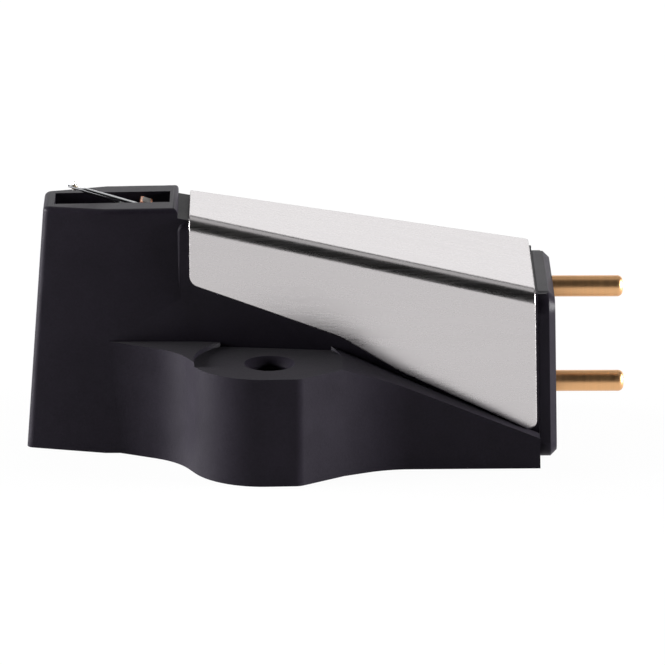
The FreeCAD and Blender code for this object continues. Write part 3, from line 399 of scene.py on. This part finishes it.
class CartridgeSizeSettings(bpy.types.PropertyGroup):
    moulding_edge: bpy.props.FloatProperty(
        name="Moulding edges", description="Radius of the moulding's broken edges", default=0.1 * MM,
        unit="LENGTH", precision=6)
    cover_edge: bpy.props.FloatProperty(
        name="Cover edges", description="Radius of the cover's deburred edges", default=0.08 * MM,
        unit="LENGTH", precision=6)
    plate_edge: bpy.props.FloatProperty(
        name="Plate edges", description="Radius of the rear plate's broken edges", default=0.06 * MM,
        unit="LENGTH", precision=6)
    small_edge: bpy.props.FloatProperty(
        name="Generator edges", description="Radius of the generator's broken edges", default=0.02 * MM,
        unit="LENGTH", precision=6)
    thread_pitch: bpy.props.FloatProperty(
        name="Thread pitch", description="Pitch of the mounting holes' thread", default=0.45 * MM,
        unit="LENGTH", precision=6)
    thread_depth: bpy.props.FloatProperty(
        name="Thread depth", description="Depth of the mounting holes' thread", default=0.2 * MM,
        unit="LENGTH", precision=6)
    wire_radius: bpy.props.FloatProperty(
        name="Winding wire", description="Radius of the winding's wire", default=0.02 * MM,
        unit="LENGTH", precision=6)


class CartridgeArmSettings(bpy.types.PropertyGroup):
    rear_radius: bpy.props.FloatProperty(
        name="Rear radius", description="Radius of the cantilever at the coil", default=0.2 * MM,
        unit="LENGTH", precision=6)
    front_radius: bpy.props.FloatProperty(
        name="Front radius", description="Radius of the cantilever behind its flat tip", default=0.15 * MM,
        unit="LENGTH", precision=6)
    flat_length: bpy.props.FloatProperty(
        name="Flat length", description="Length of the pressed flat tip", default=0.68 * MM,
        unit="LENGTH", precision=6)
    press_length: bpy.props.FloatProperty(
        name="Pressed length", description="Length over which the tube turns flat", default=0.45 * MM,
        unit="LENGTH", precision=6)
    flat_half: bpy.props.FloatProperty(
        name="Flat half width", description="Half width of the flat tip", default=0.19 * MM,
        unit="LENGTH", precision=6)
    flat_thickness: bpy.props.FloatProperty(
        name="Flat thickness", description="Thickness of the flat tip", default=0.14 * MM,
        unit="LENGTH", precision=6)
    glue_radius: bpy.props.FloatProperty(
        name="Glue radius", description="Radius of the glue bead round the stylus", default=0.19 * MM,
        unit="LENGTH", precision=6)


def finishes():
    return bpy.context.scene.cartridge_finishes


def sizes():
    return bpy.context.scene.cartridge_sizes


def black_plastic(name, grain=8.0, gloss=1.0):
    roughness = finishes().plastic_roughness * gloss
    return grained(name, finishes().plastic_colour, roughness, depth=0.000006, grain=grain,
                   Specular_IOR_Level=0.06, Sheen_Weight=0.02, Sheen_Roughness=0.45)


# The pieces

# a hole's wall is where faces stand this upright, within this many hole radii of its middle
WALL_UPRIGHT = 0.05
WALL_REACH = 1.02
THREAD_RINGS_PER_TURN = 8


def thread_holes(skin, pitch, depth):
    """Cut a real thread into the wall of each mounting hole, with a run-out of a turn at both ends."""
    pattern = next(mount for mount in frame["record"]["mounts"] if mount["kind"] == "bolt_pattern")
    radius = pattern["dims"]["hole_r_mm"] * MM
    for side in (-1, 1):
        middle = Vector((0, side * pattern["dims"]["spacing_y_mm"] * MM / 2, 0))
        wall = [face for face in skin.faces if abs(face.normal.z) < WALL_UPRIGHT
                and (face.calc_center_median() - middle).to_2d().length < WALL_REACH * radius]
        bmesh.ops.delete(skin, geom=wall, context="FACES")
        corners = {vertex for edge in skin.edges if edge.is_boundary for vertex in edge.verts}
        low_z = min(vertex.co.z for vertex in corners)
        high_z = max(vertex.co.z for vertex in corners)
        halfway = (low_z + high_z) / 2

        def angle_of(vertex):
            return math.atan2(vertex.co.y - middle.y, vertex.co.x - middle.x)

        bottom = sorted((vertex for vertex in corners if vertex.co.z < halfway), key=angle_of)
        top = sorted((vertex for vertex in corners if vertex.co.z > halfway), key=angle_of)
        if len(top) != len(bottom):
            raise RuntimeError("a mounting hole's two ends don't match: %d and %d" % (len(bottom), len(top)))
        rings = [bottom]
        steps = round((high_z - low_z) / (pitch / THREAD_RINGS_PER_TURN))
        for step in range(1, steps):
            height = low_z + (high_z - low_z) * step / steps
            run_out = min(1.0, step / THREAD_RINGS_PER_TURN, (steps - step) / THREAD_RINGS_PER_TURN)
            ring = []
            for vertex in bottom:
                angle = angle_of(vertex)
                turn = (height / pitch - side * angle / (2 * math.pi)) % 1.0
                reach = radius + depth * run_out * (1 - abs(2 * turn - 1))
                place = Vector((reach * math.cos(angle), reach * math.sin(angle), height))
                ring.append(skin.verts.new(middle + place))
            rings.append(ring)
        rings.append(top)
        for ring, following in zip(rings, rings[1:]):
            for number in range(len(ring)):
                after = (number + 1) % len(ring)
                skin.faces.new((ring[after], ring[number], following[number], following[after]))
    skin.normal_update()


class CARTRIDGE_OT_moulding(bpy.types.Operator):
    """Break the moulding's edges, thread its holes and give it its satin grain"""
    bl_idname = "cartridge.moulding"
    bl_label = "Black Moulding"

    def execute(self, context):
        skin = joined_skin("body_shell")
        thread_holes(skin, sizes().thread_pitch, sizes().thread_depth)
        break_edges(skin, sizes().moulding_edge)
        item = object_from(skin, "moulding", black_plastic("satin_black_moulding"))
        shade_smooth(item)
        weight_normals(item)
        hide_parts("body_shell")
        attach(item, MAIN_BODY)
        return {"FINISHED"}


class CARTRIDGE_OT_cover(bpy.types.Operator):
    """Deburr the folded cover and brush it along the body"""
    bl_idname = "cartridge.cover"
    bl_label = "Brushed Cover"

    def execute(self, context):
        metal = lined("brushed_cover_metal", finishes().cover_colour, finishes().cover_roughness,
                      depth=0.000002, lines=(0.3, 10.0, 10.0), contrast=0.04)
        item = softened_node("cover", "folded_cover", sizes().cover_edge, metal)
        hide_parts("cover")
        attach(item, MAIN_BODY)
        return {"FINISHED"}


class CARTRIDGE_OT_rear_plate(bpy.types.Operator):
    """Soften the rear plate and give it a slightly smoother black"""
    bl_idname = "cartridge.rear_plate"
    bl_label = "Rear Plate"

    def execute(self, context):
        plastic = black_plastic("smooth_black_plate", grain=18.0, gloss=0.85)
        item = softened_node("rear_plate", "closing_plate", sizes().plate_edge, plastic)
        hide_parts("rear_plate")
        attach(item, MAIN_BODY)
        return {"FINISHED"}


class CARTRIDGE_OT_terminals(bpy.types.Operator):
    """Give the two gold pins and their solder tails a turned gold finish"""
    bl_idname = "cartridge.terminals"
    bl_label = "Terminal Pins"

    def execute(self, context):
        gold = lined("turned_gold_plate", finishes().gold_colour, 0.38, depth=0.0000012,
                     lines=(22.0, 0.6, 0.6), contrast=0.05)
        for node in ("terminal_pin_upper", "terminal_pin_lower"):
            finish_node(node, gold)
        return {"FINISHED"}


# squareness of a section: 2 is an ellipse, and more is nearer to a rectangle
ROUND_SECTION = 2.0
PRESSED_SECTION = 4.5
TUBE_STEPS = 8
CORNER_STEPS = 5
# the flat's round corners, as a share of its half width, and how much the tip thins as it narrows
FLAT_CORNER_SHARE = 0.45
TIP_THINNING = 0.25


def arm_sections(size, front, rear):
    """The cantilever's sections from the coil to its tip: place, half width, half height, squareness."""
    half_thickness = size.flat_thickness / 2
    flat_start = front + size.flat_length
    press_start = flat_start + size.press_length
    sections = [(rear, size.rear_radius, size.rear_radius, ROUND_SECTION)]
    for step in range(1, TUBE_STEPS + 1):
        share = step / TUBE_STEPS
        radius = size.rear_radius + (size.front_radius - size.rear_radius) * share
        sections.append((rear + (press_start - rear) * share, radius, radius, ROUND_SECTION))
    for step in range(1, TUBE_STEPS + 1):
        share = step / TUBE_STEPS
        ease = share * share * (3 - 2 * share)
        sections.append((press_start - size.press_length * share,
                         size.front_radius + (size.flat_half - size.front_radius) * ease,
                         size.front_radius + (half_thickness - size.front_radius) * ease,
                         ROUND_SECTION + (PRESSED_SECTION - ROUND_SECTION) * ease))
    corner = FLAT_CORNER_SHARE * size.flat_half
    sections.append((front + corner, size.flat_half, half_thickness, PRESSED_SECTION))
    for step in range(1, CORNER_STEPS + 1):
        turn = math.radians(90 * step / CORNER_STEPS)
        narrower = corner * (1 - math.cos(turn))
        sections.append((front + corner * (1 - math.sin(turn)), size.flat_half - narrower,
                         half_thickness - TIP_THINNING * narrower, PRESSED_SECTION))
    return sections


def loft(name, sections, place, material, steps=40):
    """A closed skin through rounded sections that stand across the x axis of a placement."""
    tool = bmesh.new()
    rings = []
    for along, half_width, half_height, squareness in sections:
        ring = []
        for step in range(steps):
            angle = 2 * math.pi * step / steps
            across = math.copysign(abs(math.cos(angle)) ** (2 / squareness), math.cos(angle))
            up = math.copysign(abs(math.sin(angle)) ** (2 / squareness), math.sin(angle))
            ring.append(tool.verts.new(place @ Vector((along, half_width * across, half_height * up))))
        rings.append(ring)
    for ring, following in zip(rings, rings[1:]):
        for step in range(steps):
            after = (step + 1) % steps
            tool.faces.new((ring[step], ring[after], following[after], following[step]))
    tool.faces.new(rings[0])
    tool.faces.new(rings[-1])
    bmesh.ops.recalc_face_normals(tool, faces=tool.faces)
    item = object_from(tool, name, material)
    shade_smooth(item, math.radians(40))
    return item


class CARTRIDGE_OT_cantilever(bpy.types.Operator):
    """Draw the tube, press its end flat and set it on the coil"""
    bl_idname = "cartridge.cantilever"
    bl_label = "Cantilever"

    def execute(self, context):
        size = context.scene.cartridge_arm
        low, high = arm_extent("cantilever")
        metal = lined("drawn_aluminium", finishes().arm_colour, 0.2, depth=0.0000008,
                      lines=(3.0, 60.0, 60.0), contrast=0.05)
        tube = loft("drawn_cantilever", arm_sections(size, low.x, high.x), arm_frame(), metal)
        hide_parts("cantilever")
        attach(tube, ARM)
        return {"FINISHED"}


class CARTRIDGE_OT_stylus(bpy.types.Operator):
    """Grind the shank and the diamond, and glue them into the cantilever's flat"""
    bl_idname = "cartridge.stylus"
    bl_label = "Stylus"

    def execute(self, context):
        size = context.scene.cartridge_arm
        place = upright_at("stylus_shank")
        low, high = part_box("stylus_shank")
        radius = (high.x - low.x) / 2
        edge = radius / 7
        titanium = lined("ground_titanium", (0.36, 0.35, 0.34), 0.3, depth=0.0000006, lines=(60.0, 60.0, 6.0))
        shank = lathe("stylus_post", [(low.z, 0), (low.z, radius - edge), (low.z + edge, radius),
                                      (high.z - edge / 2, radius), (high.z, radius - edge / 2), (high.z, 0)],
                      place, titanium)
        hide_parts("stylus_shank")
        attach(shank, ARM)
        foot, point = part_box("stylus_tip")
        blunt = 0.012 * MM
        lean = math.degrees(math.atan2(radius - blunt, point.z - foot.z))
        centre = (point.z - blunt, 0.0)
        crown = arc_points(centre, blunt, 90 - lean, 0, 6)
        diamond, shader = new_material("polished_diamond", (0.62, 0.62, 0.6), 0.06)
        shader.inputs["IOR"].default_value = 2.42
        shader.inputs["Transmission Weight"].default_value = 0.35
        speck = place_group(diamond, group_named("fine_grain", make_fine_grain), Grain_Per_Millimetre=40.0,
                            Patch_Per_Millimetre=9.0)
        drive(diamond, shader, speck, dark=(0.5, 0.5, 0.48), light=(0.72, 0.72, 0.7), smooth=0.04, rough=0.1,
              depth=0.0000003)
        base = [(foot.z, 0), (foot.z, radius - edge / 2), (foot.z + edge / 2, radius - edge / 4)]
        tip = lathe("stylus_diamond", base + crown, place, diamond)
        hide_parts("stylus_tip")
        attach(tip, ARM)
        self.add_glue(size, low.x + radius)
        return {"FINISHED"}

    def add_glue(self, size, stylus_x):
        """A bead of clear glue on both faces of the flat, where the shank passes through."""
        reach = (stylus_x - PIVOT.x) / ARM_AXIS.x
        height = PIVOT.z + reach * ARM_AXIS.z
        half = size.flat_thickness / 2
        rise = half + 0.09 * MM
        turn = Matrix.Translation((stylus_x, 0, height)) @ arm_frame().to_3x3().to_4x4()
        upright = turn @ Matrix.Rotation(math.radians(-90), 4, "Y")
        bead = [(-rise + 0.02 * MM, 0), (-rise + 0.025 * MM, 0.5 * size.glue_radius),
                (-half - 0.015 * MM, 0.85 * size.glue_radius), (-half, size.glue_radius),
                (half, size.glue_radius), (half + 0.015 * MM, 0.9 * size.glue_radius),
                (half + 0.05 * MM, 0.72 * size.glue_radius), (rise, 0.6 * size.glue_radius), (rise, 0)]
        resin = grained("set_epoxy", (0.16, 0.13, 0.09), 0.2, depth=0.000001, grain=30.0, Coat_Weight=0.4)
        drop = lathe("stylus_glue", bead, upright, resin, steps=32)
        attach(drop, ARM)


def wire_loop(tool, points, radius, sides=8):
    """Sweep a round wire along a closed level loop of points."""
    rings = []
    count = len(points)
    for number, point in enumerate(points):
        forward = (points[(number + 1) % count] - points[number - 1]).normalized()
        outward = forward.cross(Vector((0, 0, 1)))
        ring = []
        for side in range(sides):
            angle = 2 * math.pi * side / sides
            around = outward * math.cos(angle) + Vector((0, 0, math.sin(angle)))
            ring.append(tool.verts.new(point + radius * around))
        rings.append(ring)
    for number in range(count):
        ring, following = rings[number], rings[(number + 1) % count]
        for side in range(sides):
            after = (side + 1) % sides
            tool.faces.new((ring[side], following[side], following[after], ring[after]))


def rounded_rectangle(low, high, height, corner, steps=5):
    """The points of a level rectangle with round corners."""
    centres = [(high[0] - corner, high[1] - corner), (low[0] + corner, high[1] - corner),
               (low[0] + corner, low[1] + corner), (high[0] - corner, low[1] + corner)]
    points = []
    for quarter, (x, y) in enumerate(centres):
        for step in range(steps + 1):
            angle = math.radians(90 * quarter + 90 * step / steps)
            points.append(Vector((x + corner * math.cos(angle), y + corner * math.sin(angle), height)))
    return points


TURNS_PER_LAYER = 6
COIL_CORNER = 0.11 * MM
# the wire's drawn radius as a share of its room, so that turns don't touch
BARE_SHARE = 0.97


class CARTRIDGE_OT_coil(bpy.types.Operator):
    """Wind the coil's two halves with real turns of fine wire"""
    bl_idname = "cartridge.coil"
    bl_label = "Coil"

    def execute(self, context):
        wire = sizes().wire_radius
        low, high = arm_extent("coil")
        former_side = arm_extent("coil_former")[1].y
        layers = round((high.y - former_side) / (2 * wire))
        winding_height = 2 * wire * TURNS_PER_LAYER
        tool = bmesh.new()
        for start in (low.z, high.z - winding_height):
            for layer in range(layers):
                inset = wire * (2 * layer + 1)
                near = (low.x + inset, low.y + inset)
                far = (high.x - inset, high.y - inset)
                corner = max(COIL_CORNER - inset, wire)
                for turn in range(TURNS_PER_LAYER):
                    height = start + wire * (2 * turn + 1)
                    wire_loop(tool, rounded_rectangle(near, far, height, corner), BARE_SHARE * wire)
        bmesh.ops.transform(tool, matrix=arm_frame(), verts=tool.verts)
        bmesh.ops.recalc_face_normals(tool, faces=tool.faces)
        copper = lined("enamelled_copper", finishes().copper_colour, 0.25, depth=0.0000006,
                       lines=(20.0, 20.0, 20.0), contrast=0.12, Coat_Weight=0.6)
        winding = object_from(tool, "coil_winding", copper)
        shade_smooth(winding)
        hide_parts("coil")
        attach(winding, ARM)
        return {"FINISHED"}


class CARTRIDGE_OT_generator(bpy.types.Operator):
    """Plate the yokes, magnet, sleeve, wire and screw, and finish the damper and the coil former"""
    bl_idname = "cartridge.generator"
    bl_label = "Generator"

    def execute(self, context):
        edge = sizes().small_edge
        iron = lined("plated_iron", (0.42, 0.41, 0.4), 0.32, depth=0.0000015, lines=(12.0, 12.0, 2.0),
                     contrast=0.1)
        plating = lined("magnet_nickel", (0.5, 0.48, 0.45), 0.28, depth=0.000001, lines=(9.0, 9.0, 9.0),
                        contrast=0.1)
        brass = lined("drawn_brass", (0.78, 0.58, 0.27), 0.25, depth=0.0000008, lines=(3.0, 40.0, 40.0))
        steel = lined("bright_steel", (0.6, 0.6, 0.6), 0.22, depth=0.0000006, lines=(3.0, 60.0, 60.0))
        rubber = grained("black_rubber", (0.018, 0.018, 0.018), 0.75, depth=0.000002, grain=26.0)
        former = grained("former_resin", (0.05, 0.045, 0.04), 0.5, depth=0.000001, grain=24.0)
        for node, material, width in (
                ("front_yoke", iron, edge), ("rear_yoke", iron, edge), ("rear_pole", iron, edge),
                ("magnet", plating, 1.5 * edge), ("tie_wire_sleeve", brass, edge / 2),
                ("tie_wire", steel, 0.0), ("set_screw", steel, edge / 4), ("damper_ring", rubber, edge),
                ("coil_former", former, edge)):
            finish_node(node, material, width)
        return {"FINISHED"}


class CARTRIDGE_OT_leads(bpy.types.Operator):
    """Give the two inner leads their insulation"""
    bl_idname = "cartridge.leads"
    bl_label = "Inner Leads"

    def execute(self, context):
        for node, name, colour in (("signal_lead", "white_insulation", (0.68, 0.67, 0.63)),
                                   ("return_lead", "red_insulation", (0.5, 0.03, 0.025))):
            finish_node(node, grained(name, colour, 0.4, depth=0.000001, grain=10.0))
        return {"FINISHED"}


# The stage

FLOOR_REACH = 2.0
# how far the floor shows as plain white, with the rest left to light and shadow
FLOOR_GLOW = 0.95
# brightness of the room against the y of a direction: white beyond the object, dark above and in front
ROOM_DARK_AT = 0.15
ROOM_BRIGHT_AT = 0.8
ROOM_DARK = 0.04
ROOM_BRIGHT = 1.0
# name, place, width and height in metres, and power in watts
LAMPS = (
    ("softbox_left", (-0.5, 0.05, 0.08), (0.3, 0.24), 13.0),
    ("softbox_right", (0.5, 0.0, 0.08), (0.3, 0.2), 11.0),
    ("softbox_top", (0.0, 0.16, 0.55), (0.5, 0.4), 0.4),
    ("softbox_back", (0.0, 0.6, 0.24), (0.8, 0.4), 1.25),
)
CAMERA_PLACE = Vector((0.57, -344.26, 111.35)) * MM
CAMERA_TARGET = Vector((3.57, 0.0, 6.09)) * MM
CAMERA_LENS = 343.0


class CARTRIDGE_OT_stage(bpy.types.Operator):
    """Set the white floor, the soft lamps and the camera"""
    bl_idname = "cartridge.stage"
    bl_label = "Stage, Lamps and Camera"

    def execute(self, context):
        self.add_floor()
        self.set_world()
        self.add_lamps()
        self.add_camera()
        context.scene.view_settings.view_transform = "Standard"
        return {"FINISHED"}

    def add_floor(self):
        tool = bmesh.new()
        bmesh.ops.create_grid(tool, x_segments=1, y_segments=1, size=FLOOR_REACH)
        material, shader = new_material("white_floor", (0.8, 0.8, 0.8), 0.9)
        tree = material.node_tree
        glow = tree.nodes.new("ShaderNodeEmission")
        glow.inputs["Strength"].default_value = 1.0
        both = tree.nodes.new("ShaderNodeMixShader")
        rays = tree.nodes.new("ShaderNodeLightPath")
        seen = math_node(tree, "MAXIMUM", rays.outputs["Is Camera Ray"], rays.outputs["Is Transmission Ray"])
        shown = math_node(tree, "MAXIMUM", seen, rays.outputs["Is Glossy Ray"])
        tree.links.new(math_node(tree, "MULTIPLY", shown, FLOOR_GLOW), both.inputs["Fac"])
        tree.links.new(shader.outputs[0], both.inputs[1])
        tree.links.new(glow.outputs[0], both.inputs[2])
        tree.links.new(both.outputs[0], tree.nodes["Material Output"].inputs["Surface"])
        floor = object_from(tool, "studio_floor", material)
        floor.location.z = CAD_BOX[0][2] - 0.01 * MM

    def set_world(self):
        world = bpy.data.worlds.new("studio_air")
        bpy.context.scene.world = world
        world.use_nodes = True
        tree = world.node_tree
        air = tree.nodes["Background"]
        direction = tree.nodes.new("ShaderNodeTexCoord")
        parts = tree.nodes.new("ShaderNodeSeparateXYZ")
        tree.links.new(direction.outputs["Generated"], parts.inputs[0])
        room = tree.nodes.new("ShaderNodeMapRange")
        room.interpolation_type = "SMOOTHSTEP"
        for label, value in (("From Min", ROOM_DARK_AT), ("From Max", ROOM_BRIGHT_AT),
                             ("To Min", ROOM_DARK), ("To Max", ROOM_BRIGHT)):
            room.inputs[label].default_value = value
        tree.links.new(parts.outputs["Y"], room.inputs["Value"])
        rays = tree.nodes.new("ShaderNodeLightPath")
        shown = tree.nodes.new("ShaderNodeMix")
        tree.links.new(rays.outputs["Is Camera Ray"], shown.inputs["Factor"])
        tree.links.new(room.outputs["Result"], shown.inputs["A"])
        shown.inputs["B"].default_value = 1.0
        tree.links.new(shown.outputs["Result"], air.inputs["Strength"])

    def add_lamps(self):
        for name, place, (width, height), power in LAMPS:
            light = bpy.data.lights.new(name, "AREA")
            light.shape = "RECTANGLE"
            light.size = width
            light.size_y = height
            light.energy = power
            lamp = bpy.data.objects.new(name, light)
            lamp.location = place
            lamp.rotation_euler = (-Vector(place)).to_track_quat("-Z", "Y").to_euler()
            bpy.context.scene.collection.objects.link(lamp)

    def add_camera(self):
        camera = bpy.data.cameras.new("product_camera")
        camera.lens = CAMERA_LENS
        camera.sensor_width = 36.0
        camera.clip_start = 0.01
        camera.clip_end = 10.0
        item = bpy.data.objects.new("product_camera", camera)
        item.location = CAMERA_PLACE
        item.rotation_euler = (CAMERA_TARGET - CAMERA_PLACE).to_track_quat("-Z", "Y").to_euler()
        bpy.context.scene.collection.objects.link(item)
        bpy.context.scene.camera = item


class CARTRIDGE_PT_finish(bpy.types.Panel):
    bl_idname = "CARTRIDGE_PT_finish"
    bl_label = "Stylus Cartridge"
    bl_space_type = "VIEW_3D"
    bl_region_type = "UI"
    bl_category = "Cartridge"

    def draw(self, context):
        for group in (finishes(), sizes(), context.scene.cartridge_arm):
            for prop in group.bl_rna.properties:
                if prop.identifier not in ("rna_type", "name"):
                    self.layout.prop(group, prop.identifier)
        for operator in OPERATORS:
            self.layout.operator(operator.bl_idname)


OPERATORS = (
    CARTRIDGE_OT_moulding,
    CARTRIDGE_OT_cover,
    CARTRIDGE_OT_rear_plate,
    CARTRIDGE_OT_terminals,
    CARTRIDGE_OT_cantilever,
    CARTRIDGE_OT_stylus,
    CARTRIDGE_OT_coil,
    CARTRIDGE_OT_generator,
    CARTRIDGE_OT_leads,
    CARTRIDGE_OT_stage,
)
SETTINGS = (
    ("cartridge_finishes", CartridgeFinishSettings),
    ("cartridge_sizes", CartridgeSizeSettings),
    ("cartridge_arm", CartridgeArmSettings),
)


def register():
    for name, settings in SETTINGS:
        bpy.utils.register_class(settings)
        setattr(bpy.types.Scene, name, bpy.props.PointerProperty(type=settings))
    for operator in OPERATORS:
        bpy.utils.register_class(operator)
    bpy.utils.register_class(CARTRIDGE_PT_finish)


def unregister():
    bpy.utils.unregister_class(CARTRIDGE_PT_finish)
    for operator in reversed(OPERATORS):
        bpy.utils.unregister_class(operator)
    for name, settings in reversed(SETTINGS):
        delattr(bpy.types.Scene, name)
        bpy.utils.unregister_class(settings)


def main():
    register()
    bpy.ops.cartridge.moulding()
    bpy.ops.cartridge.cover()
    bpy.ops.cartridge.rear_plate()
    bpy.ops.cartridge.terminals()
    bpy.ops.cartridge.cantilever()
    bpy.ops.cartridge.stylus()
    bpy.ops.cartridge.coil()
    bpy.ops.cartridge.generator()
    bpy.ops.cartridge.leads()
    bpy.ops.cartridge.stage()


if __name__ == "__main__":
    main()
